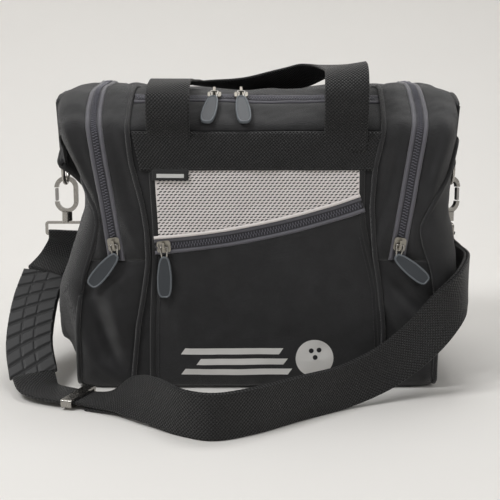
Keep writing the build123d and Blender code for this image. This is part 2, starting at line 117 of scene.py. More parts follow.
def grid_piece(name, place, rows, columns, size=(1, 1), closed=False, capped=False, flip=False):
    """A mesh from a flat grid whose every point place(u, v) moves; u and v run from 0 to 1.

    place takes arrays and gives points in mm.  size is the grid's length and width in mm, for
    its UV map in metres.  closed joins the v ends into a tube, capped closes the u ends, and
    flip turns it inside out.
    """
    shape = bmesh.new()
    bmesh.ops.create_grid(shape, x_segments=rows, y_segments=columns, size=0.5)
    size = np.array(size, float)
    flat = np.array([point.co[:2] for point in shape.verts]) + 0.5
    placed = np.asarray(place(flat[:, 0], flat[:, 1])) / 1000
    cloth = shape.loops.layers.uv.new("cloth")
    for face in shape.faces:
        for corner in face.loops:
            corner[cloth].uv = flat[corner.vert.index] * size / 1000
    for point, to in zip(shape.verts, placed):
        point.co = to
    if closed:
        bmesh.ops.remove_doubles(shape, verts=shape.verts, dist=1e-6)
    if flip:
        bmesh.ops.reverse_faces(shape, faces=shape.faces)
    if capped:
        bmesh.ops.holes_fill(shape, edges=[e for e in shape.edges if e.is_boundary], sides=0)
        bmesh.ops.recalc_face_normals(shape, faces=shape.faces)
    return mesh_piece(name, shape)


backdrop_cloth, nodes, links, shader = grained("backdrop_cloth", (0.80, 0.785, 0.76), 0.9,
                                               5.0, 3.0, 0.25, 0.004)
# The cloth is seen through from behind, so that the bag can be looked at from the wall's far side.
clear = node(nodes, "ShaderNodeBsdfTransparent")
facing = node(nodes, "ShaderNodeNewGeometry")
one_sided = node(nodes, "ShaderNodeMixShader")
links.new(facing.outputs["Backfacing"], one_sided.inputs["Fac"])
links.new(shader.outputs["BSDF"], one_sided.inputs[1])
links.new(clear.outputs["BSDF"], one_sided.inputs[2])
links.new(one_sided.outputs["Shader"], nodes["Material Output"].inputs["Surface"])


def rolled_cloth(u, v):
    """The backdrop: floor, a wide bend behind the bag, and the wall."""
    length, in_front, width = 5200, 2200, 5600
    bend, start = 450, 520
    run = u * length - in_front
    turn = np.clip((run - start) / bend, 0, math.pi / 2)
    beyond = np.maximum(run - start - bend * math.pi / 2, 0)
    return np.stack([(v - 0.5) * width, np.minimum(run, start) + bend * np.sin(turn),
                     bend * (1 - np.cos(turn)) + beyond], 1)


backdrop = grid_piece("backdrop", rolled_cloth, 90, 4, flip=True)
backdrop.data.materials.append(backdrop_cloth)

lamp_aim = Vector((0, 0, 0.12))
lamps = (
    ("key_lamp", (-1.1, -0.9, 1.9), 0.8, 24),
    ("fill_lamp", (1.7, -1.2, 1.3), 1.2, 6.5),
    ("top_lamp", (0.2, 0.5, 2.0), 0.9, 12),
)
for name, place, width, watts in lamps:
    lamp_data = bpy.data.lights.new(name, "AREA")
    lamp_data.size = width
    lamp_data.energy = watts
    lamp = bpy.data.objects.new(name, lamp_data)
    lamp.location = place
    lamp.rotation_euler = (lamp_aim - Vector(place)).to_track_quat("-Z", "Y").to_euler()
    bpy.context.scene.collection.objects.link(lamp)
room = bpy.data.worlds.new("room")
room.use_nodes = True
room.node_tree.nodes["Background"].inputs["Color"].default_value = (1.0, 0.98, 0.95, 1)
room.node_tree.nodes["Background"].inputs["Strength"].default_value = 0.33
bpy.context.scene.world = room
bpy.context.scene.view_settings.view_transform = "Standard"

# ---- shell: the form that every panel is sewn to ----
# Polyester laminated to thin foam.  The ball compartment holds the front flat; the empty end
# pockets pinch in at the waist and bulge low down.

half_depth = 118.0
top_height = 268.0
facet_low = np.array([-97.0, 252.0])
facet_high = np.array([-60.0, 268.0])
edge_height = 236.0
base_sag = 2.0
# The ends' outlines: heights and how far out the form reaches there.
left_outline = np.array([(-20, 166), (0, 168), (25, 174), (55, 178), (90, 176), (130, 163),
                         (160, 152), (176, 151), (200, 162), (235, 180), (268, 189), (300, 190)])
right_outline = np.array([(-20, 166), (0, 168), (25, 174), (55, 178), (100, 178), (150, 172),
                          (185, 171), (220, 177), (245, 184), (268, 189), (300, 190)])


def soft_most(*walls, softness):
    """The largest of several distances, rounded where two of them are close."""
    stacked = np.stack(np.broadcast_arrays(*walls)) / softness
    most = stacked.max(0)
    return softness * (most + np.log(np.exp(stacked - most).sum(0)))


def outside(p):
    """How far points are outside the bag's form, in mm; negative inside."""
    x, y, z = p[:, 0], p[:, 1], p[:, 2]
    edge = np.array([-half_depth, edge_height])
    walls = [-half_depth - y, y - half_depth, z - top_height, -z - base_sag]
    for low, high in ((edge, facet_low), (facet_low, facet_high)):
        along = (high - low) / np.linalg.norm(high - low)
        walls.append((y - low[0]) * -along[1] + (z - low[1]) * along[0])
    profile = soft_most(*walls, softness=4.5)
    left = -x - np.interp(z, *left_outline.T)
    right = x - np.interp(z, *right_outline.T)
    return soft_most(profile, soft_most(left, right, softness=4), softness=9.0)


def on_form(origin, direction, reach=150.0):
    """Where rays from inside the bag meet its form."""
    halvings = 22
    near, far = np.zeros(len(origin)), np.full(len(origin), reach)
    for _ in range(halvings):
        middle = (near + far) / 2
        inside = outside(origin + direction * middle[:, None]) < 0
        near, far = np.where(inside, middle, near), np.where(inside, far, middle)
    return origin + direction * near[:, None]


def smoothed(line, reach):
    """A row of numbers averaged over reach places either side, most on the nearest."""
    window = np.exp(-np.linspace(-2.5, 2.5, 2 * reach + 1) ** 2 / 2)
    return np.convolve(np.pad(line, reach, "edge"), window / window.sum(), "valid")


# The wrap runs up the front, over the top and down the back; s is the distance along it.
wrap_corners = np.array([(-half_depth, 0), (-half_depth, edge_height), facet_low, facet_high,
                         (half_depth, top_height), (half_depth, 0)])
wrap_lengths = np.r_[0, np.cumsum(np.linalg.norm(np.diff(wrap_corners, axis=0), axis=1))]
wrap_length = wrap_lengths[-1]
past_ends = 60
dense = np.linspace(-past_ends, wrap_length + past_ends, 1800)
dense_points = np.stack([np.interp(dense, wrap_lengths, wrap_corners[:, i]) for i in (0, 1)], 1)
dense_points[:, 1] += np.minimum(dense, 0) + np.minimum(wrap_length - dense, 0)
tangent = np.gradient(dense_points, axis=0)
for i in (0, 1):
    tangent[:, i] = smoothed(tangent[:, i], 50)
tangent /= np.linalg.norm(tangent, axis=1)[:, None]


def wave_field(p, size, seed, count=14):
    """Smooth seeded unevenness of a given size, about -1 to 1."""
    shortest, longest, usual_peak = 0.6, 1.5, 1.6
    rng = np.random.default_rng(seed)
    total = np.zeros(len(p))
    for _ in range(count):
        way = rng.normal(size=3)
        way /= np.linalg.norm(way)
        total += np.sin(p @ way * (2 * math.pi / size * rng.uniform(shortest, longest))
                        + rng.uniform(0, 2 * math.pi))
    return total / math.sqrt(count / 2) / usual_peak


def fold(p, start, end, width, height):
    """A straight fold of the cloth between two points: a ridge, or a valley if height < 0."""
    start, end = np.array(start, float), np.array(end, float)
    along = end - start
    share = np.clip(((p - start) @ along) / (along @ along), 0, 1)
    away = np.linalg.norm(p - start - share[:, None] * along, axis=1)
    return height * np.exp(-(away / width) ** 2) * np.sin(math.pi * (0.12 + 0.76 * share))


# Folds, each from a point to a point, with its width and height.
body_folds = [
    # low left end pocket: a deep hollow beside the front, ridges either side of it
    ((-150, -118, 84), (-124, -118, 14), 9, -8.0), ((-131, -118, 92), (-120, -118, 40), 9, 5.5),
    ((-168, -112, 96), (-150, -114, 34), 9, 4.5), ((-119, -118, 110), (-152, -118, 88), 6, -4.5),
    ((-146, -118, 30), (-118, -118, 6), 6, 3.0),
    # low right end pocket
    ((116, -118, 104), (150, -116, 66), 7, -6.0), ((122, -118, 84), (164, -112, 40), 9, 5.0),
    ((116, -118, 66), (146, -116, 12), 7, -5.5), ((126, -118, 30), (156, -114, 6), 7, 3.5),
    # inner gussets beside the zips
    ((-128, -118, 240), (-104, -118, 140), 6.5, -4.0),
    ((128, -118, 240), (108, -118, 140), 6.5, -4.0),
    ((-116, -118, 160), (-104, -118, 128), 5, 2.5), ((116, -118, 160), (106, -118, 126), 5, 2.5),
    # outer gussets above the pockets' ends
    ((-176, -112, 250), (-146, -118, 178), 7, 3.2), ((176, -112, 250), (150, -118, 178), 7, 3.0),
    ((-160, -114, 236), (-140, -118, 168), 5, -2.6), ((160, -114, 236), (144, -118, 168), 5, -2.6),
    # front pocket, slumped cloth
    ((-66, -118, 122), (10, -118, 76), 13, -3.2), ((-84, -118, 96), (-50, -118, 30), 13, 2.6),
    ((24, -118, 116), (96, -118, 52), 14, 2.4), ((-34, -118, 66), (88, -118, 34), 13, -2.0),
    ((60, -118, 142), (100, -118, 96), 10, -2.4), ((-70, -118, 22), (60, -118, 8), 10, 1.6),
    # top: the middle sinks and the end pockets stand up beside it
    ((-70, 30, 268), (80, 40, 268), 55, -8.0), ((-60, -20, 268), (70, 0, 268), 30, -3.5),
    ((-132, -80, 268), (-150, 60, 268), 16, 4.0), ((132, -80, 268), (150, 60, 268), 16, 3.5),
    ((-118, 20, 268), (-150, 90, 268), 9, -3.0), ((120, 0, 268), (156, 70, 268), 9, -3.0),
    # end panels
    ((-176, -76, 240), (-150, 40, 150), 16, 4.0), ((-180, -70, 40), (-178, 60, 76), 17, 5.0),
    ((-166, 40, 226), (-168, 96, 90), 10, -4.5), ((-158, -98, 150), (-178, -56, 50), 9, -4.5),
    ((-150, -30, 160), (-172, 20, 100), 12, -3.5), ((-176, 80, 60), (-170, 20, 12), 10, -3.5),
    ((182, -84, 236), (172, 50, 150), 16, 4.0), ((178, -60, 36), (178, 66, 74), 17, 5.0),
    ((172, 44, 222), (178, 96, 90), 10, -4.5), ((172, -98, 170), (180, -50, 60), 9, -5.0),
    ((172, -30, 160), (178, 20, 100), 12, -3.5), ((176, 80, 60), (172, 20, 12), 10, -3.5),
    # back
    ((-84, 118, 206), (20, 118, 60), 18, -4.0), ((0, 118, 220), (90, 118, 80), 17, 3.5),
    ((-60, 118, 90), (70, 118, 20), 15, 3.0), ((-90, 118, 60), (-20, 118, 16), 12, -3.0),
]


# Unevenness, as heights, sizes and seeds.
unevenness = ((0.9, 75, 3), (0.45, 30, 4), (0.16, 11, 5))


def draped(p, away, amount=1.0):
    """Points moved along away by the cloth's folds and unevenness."""
    move = sum(height * wave_field(p, size, seed) for height, size, seed in unevenness)
    for start, end, width, height in body_folds:
        move += fold(p, start, end, width, height)
    return p + away * (move * amount)[:, None]


def wrap_point(x, s, lift=0.0, amount=1.0):
    """Points of the wrap at x and at the distance s along it, lifted off it, and its normals."""
    x, s = np.broadcast_arrays(np.asarray(x, float), np.asarray(s, float))
    base = np.stack([x] + [np.interp(s, dense, dense_points[:, i]) for i in (0, 1)], 1)
    way = np.stack([np.interp(s, dense, tangent[:, i]) for i in (0, 1)], 1)
    way /= np.linalg.norm(way, axis=1)[:, None]
    away = np.stack([np.zeros(len(x)), -way[:, 1], way[:, 0]], 1)
    depth = 60
    placed = on_form(base - away * depth, away)
    placed = draped(placed, away, amount)
    return placed + away * np.broadcast_to(lift, x.shape)[:, None], away


def height_at(s):
    """The height of the wrap at a distance along it."""
    return np.interp(s, dense, dense_points[:, 1])


# Seams as tables of height and distance from the middle, on the left and on the right.
inner_seam = {-1: [(0, 112), (58, 106), (90, 100), (117, 96), (145, 97), (170, 101), (205, 110),
                   (235, 113), (300, 113)],
              1: [(0, 114), (60, 113), (95, 109), (125, 104), (165, 101), (200, 103), (232, 110),
                  (268, 113), (300, 113)]}
zip_seam = {side: [(0, 105.5), (118, 123.7), (250, 144), (300, 144)] for side in (-1, 1)}
outer_seam = {-1: [(0, 160), (60, 159), (87, 157), (109, 152), (132, 144), (150, 140), (162, 141),
                   (176, 149), (203, 165), (228, 175), (252, 181), (300, 182)],
              1: [(0, 161), (60, 160), (87, 159), (109, 156), (130, 148), (147, 144), (160, 150),
                  (191, 167), (226, 177), (252, 181), (300, 182)]}
smooth_heights = np.linspace(-20, 300, 641)


def seam_x(seam, side, height):
    """A seam's distance from the middle at a height, as smooth as sewn cloth."""
    table = np.array(seam[side], float)
    line = smoothed(np.interp(smooth_heights, *table.T), 18)
    return side * np.interp(height, smooth_heights, line)


def woven(name, base, pitch, depth, roughness, space="Object", sheen=0.25, mottle=0.6, thread_top_highlight=0.0):
    """Woven cloth: two sets of threads, uneven dye, a little sheen, and thread tops painted paler
    as a painted highlight.

    The threads follow the piece's own place in space or, with "UV", its length and width.
    """
    made, nodes, links, shader = material(name, base, roughness)
    coordinates = node(nodes, "ShaderNodeTexCoord")
    turns = 2 * math.pi / pitch
    ways = (((turns, turns, 0), (turns, -turns, turns)) if space == "Object"
            else ((turns, 0, 0), (0, turns, 0)))
    waves = []
    for way in ways:
        phase = node(nodes, "ShaderNodeVectorMath", operation="DOT_PRODUCT")
        phase.inputs[1].default_value = way
        links.new(coordinates.outputs[space], phase.inputs[0])
        thread = node(nodes, "ShaderNodeMath", operation="SINE")
        links.new(phase.outputs["Value"], thread.inputs[0])
        waves.append(thread.outputs[0])
    weave = node(nodes, "ShaderNodeMath", operation="MULTIPLY")
    links.new(waves[0], weave.inputs[0])
    links.new(waves[1], weave.inputs[1])
    bump = node(nodes, "ShaderNodeBump", Strength=0.8, Distance=depth)
    links.new(weave.outputs[0], bump.inputs["Height"])
    links.new(bump.outputs["Normal"], shader.inputs["Normal"])
    uneven = node(nodes, "ShaderNodeTexNoise", Scale=60.0, Detail=9.0, Roughness=0.72)
    links.new(coordinates.outputs["Object"], uneven.inputs["Vector"])
    dye = node(nodes, "ShaderNodeMapRange")
    dye.inputs["To Min"].default_value = 1 - mottle
    dye.inputs["To Max"].default_value = 1 + mottle
    links.new(uneven.outputs["Fac"], dye.inputs["Value"])
    # Thread tops painted paler, by how high the weave stands there: a painted highlight.
    top = node(nodes, "ShaderNodeMath", operation="MULTIPLY_ADD")
    top.inputs[1].default_value = thread_top_highlight
    links.new(weave.outputs[0], top.inputs[0])
    links.new(dye.outputs["Result"], top.inputs[2])
    colour = node(nodes, "ShaderNodeVectorMath", operation="SCALE")
    colour.inputs[0].default_value = base
    links.new(top.outputs[0], colour.inputs["Scale"])
    links.new(colour.outputs["Vector"], shader.inputs["Base Color"])
    shader.inputs["Sheen Weight"].default_value = sheen
    shader.inputs["Sheen Roughness"].default_value = 0.5
    shader.inputs["Specular IOR Level"].default_value = 0.25
    return made


polyester = woven("black_polyester_cloth", (0.021, 0.021, 0.0225), 0.0011, 0.0002, 0.75)


def finish_cloth(piece, cloth, thickness, body="bag", replaces=()):
    """Thickness inwards, finish, and the body that the cloth moves with."""
    piece.data.materials.append(cloth)
    if thickness:
        wall = piece.modifiers.new("wall", "SOLIDIFY")
        wall.thickness = thickness / 1000
        wall.offset = -1
    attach(piece, body)
    if replaces:
        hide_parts(*replaces)


def puffed(share, edge):
    """0 at either end of a share from 0 to 1, and 1 more than edge away from both."""
    fullness = 0.8
    near = np.clip(np.minimum(share, 1 - share) / edge, 0, 1)
    return np.sin(near * math.pi / 2) ** fullness


def wrap_panel(name, from_x, to_x, from_s, to_s, rows, columns, puff, edges):
    """A panel of the wrap between two lines of x and two distances along it.

    It stands out by puff, but for the shares of its width and length in edges.
    """

    def place(u, v):
        s = from_s + (to_s - from_s) * u
        z = height_at(s)
        left, right = from_x(z, s), to_x(z, s)
        x = left + (right - left) * v
        raised = puff * puffed(v, edges[0]) * puffed(u, edges[1])
        return wrap_point(x, s, raised)[0]

    return grid_piece(name, place, rows, columns, flip=True)


def seam_line(seam, side, shift=0.0):
    """A seam as a function of height and distance along the wrap, moved outwards by shift."""
    return lambda z, s: seam_x(seam, side, z) + side * shift


band_low, band_high = 198.0, 232.0
top_zip_s = (wrap_lengths[2] + wrap_lengths[3]) / 2
zip_half = 7.3
lap = 0.6
laminate = 3.0
rear_band_high = wrap_length - band_high
rear_band_low = wrap_length - band_low
centre_panels = (
    ("front_panel", 0.0, band_high, 95, 0.0),
    ("top_front_strip", band_high, top_zip_s - zip_half + lap, 20, 2.2),
    ("top_rear_panel", top_zip_s + zip_half - lap, rear_band_high, 110, 1.0),
    ("rear_panel", rear_band_high, wrap_length, 95, 2.0),
)
for name, from_s, to_s, rows, puff in centre_panels:
    panel = wrap_panel(f"{name}_cloth", seam_line(inner_seam, -1), seam_line(inner_seam, 1),
                       from_s, to_s, rows, 90, puff, edges=(0.12, 0.2))
    finish_cloth(panel, polyester, laminate, replaces=[name])

# ---- end pockets: gussets ----
# Strips between the inner piping, the long zip and the outer piping, puffed where they aren't
# sewn, and plain lower gussets under a cross seam.

cross_seam = 118.0
pocket_run = (cross_seam, wrap_length - cross_seam)
for word, side in (("left", -1), ("right", 1)):
    inner = wrap_panel(f"{word}_inner_gusset_cloth", seam_line(inner_seam, side),
                       seam_line(zip_seam, side, lap - zip_half), *pocket_run, 210, 16, 2.6,
                       edges=(0.5, 0.02))
    outer = wrap_panel(f"{word}_outer_gusset_cloth", seam_line(zip_seam, side, zip_half - lap),
                       seam_line(outer_seam, side), *pocket_run, 210, 18, 2.4, edges=(0.5, 0.02))
    if side < 0:
        for piece in (inner, outer):
            piece.data.flip_normals()
    finish_cloth(inner, polyester, laminate,
                 replaces=[f"{word}_inner_gusset"])
    finish_cloth(outer, polyester, laminate,
                 replaces=[f"{word}_outer_gusset"])
    for end, run in (("front", (0.0, cross_seam)),
                     ("rear", (wrap_length - cross_seam, wrap_length))):
        lower = wrap_panel(f"{word}_{end}_lower_gusset_cloth", seam_line(inner_seam, side),
                           seam_line(outer_seam, side), *run, 48, 24, 2.8, edges=(0.3, 0.14))
        if side < 0:
            lower.data.flip_normals()
        finish_cloth(lower, polyester, laminate,
                     replaces=["lower_gussets"])

# ---- end pockets: end panels ----
# One crowned panel closes each end.  It is eased round the corner from the outer piping, and
# nothing holds it out but the foam in it.

rim_count = 280
crown = 2.0
above_floor = 3.3
for word, side in (("left", -1), ("right", 1)):
    rim_s = np.linspace(0.0, wrap_length, rim_count * 3 // 4)
    rim = wrap_point(seam_x(outer_seam, side, height_at(rim_s)), rim_s)[0]
    under = np.linspace(0, 1, rim_count // 4 + 2)[1:-1, None]
    rim = np.vstack([rim, rim[-1] + (rim[0] - rim[-1]) * under, rim[:1]])
    pocket_middle = np.array([side * 70.0, 0, 120.0])
    pole = np.array([side, 0.0, 0.0])

    def end_cap(u, v):
        """The end panel, from the piping (u = 0) to the middle of the end (u = 1)."""
        at = v * (len(rim) - 1)
        edge = np.stack([np.interp(at, np.arange(len(rim)), rim[:, i]) for i in range(3)], 1)
        start = edge - pocket_middle
        start /= np.linalg.norm(start, axis=1)[:, None]
        share = (u ** 1.15)[:, None]
        angle = np.arccos(np.clip(start @ pole, -1, 1))[:, None]
        way = (start * np.sin((1 - share) * angle) + pole * np.sin(share * angle)) / np.sin(angle)
        way /= np.linalg.norm(way, axis=1)[:, None]
        placed = draped(on_form(np.broadcast_to(pocket_middle, way.shape), way), way)
        settle = (np.clip(u * 4, 0, 1) ** 0.7)[:, None]
        placed = edge * (1 - settle) + (placed + way * crown) * settle
        placed[:, 2] = np.maximum(placed[:, 2], above_floor)
        return placed

    cap = grid_piece(f"{word}_end_panel_cloth", end_cap, 70, rim_count, closed=True,
                     flip=side > 0)
    finish_cloth(cap, polyester, laminate, replaces=[f"{word}_end_panel"])

# ---- base ----
# A flat panel of the same cloth over the base board, with its corners cut round.


def base_place(u, v):
    """The base, narrower towards its rounded corners."""
    inset, radius, half_width, height = 3, 27, 166, 0.6
    y = (u - 0.5) * 2 * (half_depth - inset)
    corner = np.clip(np.abs(y) - (half_depth - inset - radius), 0, radius)
    half = half_width - (radius - np.sqrt(radius ** 2 - corner ** 2))
    return np.stack([(v - 0.5) * 2 * half, y, np.full(len(u), height)], 1)


base_cloth = grid_piece("base_panel_cloth", base_place, 40, 40)
finish_cloth(base_cloth, polyester, laminate, replaces=["base_panel"])

# ---- piping ----
# Cord in a bias-cut cover, sewn into the seams beside the ball compartment and round the ends.

piping_cover = woven("piping_cover", (0.016, 0.016, 0.0175), 0.0008, 0.00012, 0.6, mottle=0.15)


def tube(name, line, radius):
    """A round cord along closely spaced points."""
    sides, count = 10, len(line)
    along = np.gradient(line, axis=0)
    along /= np.linalg.norm(along, axis=1)[:, None]
    leaning = np.array([0.13, 0.21, 0.97])
    across = np.cross(along, leaning)
    across /= np.linalg.norm(across, axis=1)[:, None]
    up = np.cross(along, across)
    length = np.linalg.norm(np.diff(line, axis=0), axis=1).sum()

    def place(u, v):
        at = np.clip(np.round(u * (count - 1)).astype(int), 0, count - 1)
        turn = 2 * math.pi * v
        return (line[at] + across[at] * (radius * np.cos(turn))[:, None]
                + up[at] * (radius * np.sin(turn))[:, None])

    return grid_piece(name, place, count - 1, sides, size=(length, 2 * math.pi * radius),
                      closed=True, capped=True)


def spaced(length, step):
    """Even places along a length."""
    return np.linspace(0, length, max(int(length / step), 2))


piping_radius, piping_lift, piping_low, end_gap = 2.3, 1.4, 2.4, 1.5
for name, seam, outwards in (("inner", inner_seam, 0.0), ("outer", outer_seam, 0.6)):
    for word, side in (("left", -1), ("right", 1)):
        run = end_gap + spaced(wrap_length - 2 * end_gap, 3.0)
        line = wrap_point(seam_x(seam, side, height_at(run)), run, piping_lift)[0]
        line[:, 2] = np.maximum(line[:, 2], piping_low)
        line[:, 0] += side * outwards
        cord = tube(f"{word}_{name}_piping_cord", line, piping_radius)
        finish_cloth(cord, piping_cover, 0, replaces=[f"{name}_piping"])

# ---- zips: tapes, coils and their folded edges ----
# Coated tapes with a rolled edge either side of a nylon coil, sewn in flat. The rolled edges are
# painted a lighter grey than the flat tape, a painted highlight of the light they catch.

tape_cloth = woven("zip_tape_cloth", (0.045, 0.044, 0.052), 0.0012, 0.00015, 0.55, "UV",
                   mottle=0.15)
# The rolled edges' lighter grey is a painted highlight; the tape's own colour is the darker grey
# above.
tape_edge_painted_highlight = woven("zip_tape_edge_painted_highlight", (0.115, 0.113, 0.13), 0.0012, 0.0001, 0.42, "UV", mottle=0.12)
coil_nylon = material("zip_coil_nylon", (0.125, 0.125, 0.15), 0.3)[0]


def zip_strip(name, centre, length, node_name, roll=1.5):
    """Both tapes of a zip as one strip; centre(t, across) gives points and the way out.

    roll is how far their rolled edges stand up.
    """
    row_length = 2.5

    def place(u, v):
        across = (v - 0.5) * 2 * zip_half
        share = np.abs(across) / zip_half
        rolled = roll * np.exp(-((share - 0.74) / 0.2) ** 2)
        rise = 0.35 + rolled + 0.3 * np.exp(-(share / 0.3) ** 2)
        rise = np.where(share > 0.97, 0.1, rise)
        placed, away = centre(u * length, across)
        return placed + away * rise[:, None]

    strip = grid_piece(name, place, int(length / row_length), 28, size=(length, 2 * zip_half),
                       flip=True)
    finish_cloth(strip, tape_cloth, 1, replaces=[node_name])
    strip.data.materials.append(tape_edge_painted_highlight)
    # Faces in the outer half of each tape take the second material, the painted highlight on the
    # rolled edges.
    cloth = strip.data.uv_layers["cloth"].data
    for face in strip.data.polygons:
        middle = sum(cloth[i].uv[1] for i in face.loop_indices) / len(face.loop_indices)
        if abs(middle * 1000 - zip_half) > zip_half * 0.5:
            face.material_index = 1
    return strip


def repeated(name, unit, places):
    """One mesh of many copies of a small unit, at the given 4 x 4 places."""
    shape = bmesh.new()
    for matrix in places:
        known = len(shape.verts)
        shape.from_mesh(unit)
        shape.verts.ensure_lookup_table()
        bmesh.ops.transform(shape, matrix=matrix, verts=shape.verts[known:])
    return mesh_piece(name, shape)


def standing(points, along, away):
    """The 4 x 4 places, in metres, of units whose X lies along and whose Z points away."""
    along = along / np.linalg.norm(along, axis=1)[:, None]
    across = np.cross(away, along)
    across /= np.linalg.norm(across, axis=1)[:, None]
    places = np.tile(np.eye(4), (len(points), 1, 1))
    places[:, :3, 0], places[:, :3, 1] = along, across
    places[:, :3, 2], places[:, :3, 3] = np.cross(along, across), points / 1000
    return [Matrix(place.tolist()) for place in places]


def small_block(name, length, width, height, bevel):
    """A little rounded block for a unit that is repeated, in mm."""
    shape = bmesh.new()
    bmesh.ops.create_cube(shape, size=0.001)
    bmesh.ops.scale(shape, vec=(length, width, height), verts=shape.verts)
    bmesh.ops.bevel(shape, geom=shape.edges, offset=bevel / 1000, segments=1, profile=0.5,
                    affect="EDGES", material=-1)
    mesh_data = bpy.data.meshes.new(name)
    shape.to_mesh(mesh_data)
    shape.free()
    return mesh_data


coil_turn = small_block("coil_turn", 0.85, 2.4, 1.5, 0.25)


def zip_coil(name, centre, length, node_name):
    """The closed coil: turns from both tapes, meshed along the middle."""
    pitch, off_middle, height = 2.5, 1.15, 0.9
    at = np.arange(pitch, length - pitch, pitch / 2)
    sides = np.where(np.arange(len(at)) % 2, off_middle, -off_middle)
    points, away = centre(at, sides)
    ahead = centre(at + 0.4, sides)[0]
    coil = repeated(name, coil_turn, standing(points + away * height, ahead - points, away))
    finish_cloth(coil, coil_nylon, 0, replaces=[node_name])


stitch_unit = small_block("stitch", 2.4, 0.75, 0.6, 0.2)
thread = material("dark_thread", (0.035, 0.035, 0.037), 0.6)[0]


def stitch_row(name, centre, length, across=0.0):
    """A row of lock stitches, each sunk a little into the cloth."""
    first, pitch, height = 2.0, 3.3, 0.15
    at = np.arange(first, length - first, pitch)
    points, away = centre(at, np.full(len(at), across))
    ahead = centre(at + 0.5, np.full(len(at), across))[0]
    row = repeated(name, stitch_unit, standing(points + away * height, ahead - points, away))
    finish_cloth(row, thread, 0)


zip_start = 118.5
beside_zip = zip_half + 2.4
end_zip_length = wrap_length - 2 * zip_start
for word, side in (("left", -1), ("right", 1)):

    def end_zip_centre(t, across):
        """A point of the end pocket's zip."""
        s = zip_start + t
        return wrap_point(seam_x(zip_seam, side, height_at(s)) + across * side, s, 0.3)

    strip = zip_strip(f"{word}_end_zip_tapes_cloth", end_zip_centre, end_zip_length,
                      "end_zip_tapes")
    if side < 0:
        strip.data.flip_normals()
    zip_coil(f"{word}_end_zip_coil_turns", end_zip_centre, end_zip_length, "end_zip_coils")
    for row, across in (("inner", -beside_zip), ("outer", beside_zip)):
        stitch_row(f"{word}_end_zip_{row}_stitches", end_zip_centre, end_zip_length, across)


top_zip_length = 220.0


def top_zip_centre(t, across):
    """A point of the top zip, which runs across between the inner pipings."""
    return wrap_point(t - top_zip_length / 2, top_zip_s - across, 0.2)


zip_strip("top_zip_tapes_cloth", top_zip_centre, top_zip_length, "top_zip_tapes")
zip_coil("top_zip_coil_turns", top_zip_centre, top_zip_length, "top_zip_coil")
stitch_row("top_zip_front_stitches", top_zip_centre, top_zip_length, zip_half + 2.6)
stitch_row("top_zip_rear_stitches", top_zip_centre, top_zip_length, -zip_half - 2.6)

# ---- front pocket ----
# A loose panel of the shell's cloth under a zip that rises to the right, with a light spacer
# mesh above it.  Its sides are bound with twill tape.

arc_centre = (-131.53, 791.4)
arc_radius = 662.0
pocket_bottom = 3.0
under_zip = zip_half - 0.8
pocket_left = {-1: [(0, 93), (60, 92), (117, 89), (143, 88), (200, 91)]}
pocket_right = {1: [(0, 110.5), (40, 110.5), (90, 107), (108, 103), (130, 97), (150, 92.5),
                    (165, 91), (200, 91)]}


def arc_height(x, below=0.0):
    """The height of the pocket zip's middle line at x, or of a line below it."""
    return arc_centre[1] - np.sqrt((arc_radius + below) ** 2 - (x - arc_centre[0]) ** 2)


def pocket_place(x, z, lift):
    """A point over the flat front, at the height z."""
    return wrap_point(x, z, lift, 0.8)


def pocket_puff(u, v):
    """How far the loose pocket panel stands out, in mm."""
    bottom, top = np.clip(u * 6, 0, 1), np.clip(u * 3 - 2, 0, 1)
    return 0.6 + 2.4 * puffed(v, 0.16) * bottom * (1 - 0.4 * top)


def pocket_sides(z):
    """The pocket's left and right edges at a height."""
    return seam_x(pocket_left, -1, z), seam_x(pocket_right, 1, z)


def pocket_sheet(u, v, extra=0.0):
    """The pocket panel, from its bottom (u = 0) to the zip (u = 1)."""
    guess = pocket_bottom + u * 135
    for _ in range(3):
        left, right = pocket_sides(guess)
        x = left + (right - left) * v
        guess = pocket_bottom + (arc_height(x, under_zip) - pocket_bottom) * u
    return pocket_place(x, guess, pocket_puff(u, v) + extra)


pocket_panel = grid_piece("front_pocket_panel_cloth", lambda u, v: pocket_sheet(u, v)[0], 70, 90,
                          flip=True)
finish_cloth(pocket_panel, polyester, 1.6, replaces=["front_pocket_panel"])

pocket_lining = grid_piece(
    "pocket_lining_cloth",
    lambda u, v: pocket_place(-93 + 187 * v, 118 + 84 * u, 0.25)[0], 20, 30, flip=True)
finish_cloth(pocket_lining, polyester, 0)

twill = woven("binding_twill", (0.014, 0.014, 0.015), 0.0016, 0.00025, 0.7, "UV", mottle=0.12)


def side_binding(name, edge, outwards):
    """Twill tape folded over a side of the pocket, from its bottom to the band."""
    low, high, width = 2.0, band_low + 1, 5.5

    def place(u, v):
        z = low + (high - low) * u
        x = edge(z) + outwards * (v - 0.35) * width
        return pocket_place(x, z, 0.4 + 1.5 * np.sin(np.pi * v) ** 0.5)[0]

    binding = grid_piece(name, place, int((high - low) / 3), 8, size=(high - low, width),
                         flip=outwards > 0)
    finish_cloth(binding, twill, 0.8)


side_binding("pocket_left_binding", lambda z: pocket_sides(z)[0], -1)
side_binding("pocket_right_binding", lambda z: pocket_sides(z)[1], 1)
for name, index, inwards, row_length in (("left", 0, 4.5, 112), ("right", 1, -4.5, 138)):
    stitch_row(f"pocket_{name}_stitches",
               lambda t, across: pocket_place(pocket_sides(t + 4)[index] + inwards, t + 4, 1.5),
               row_length)

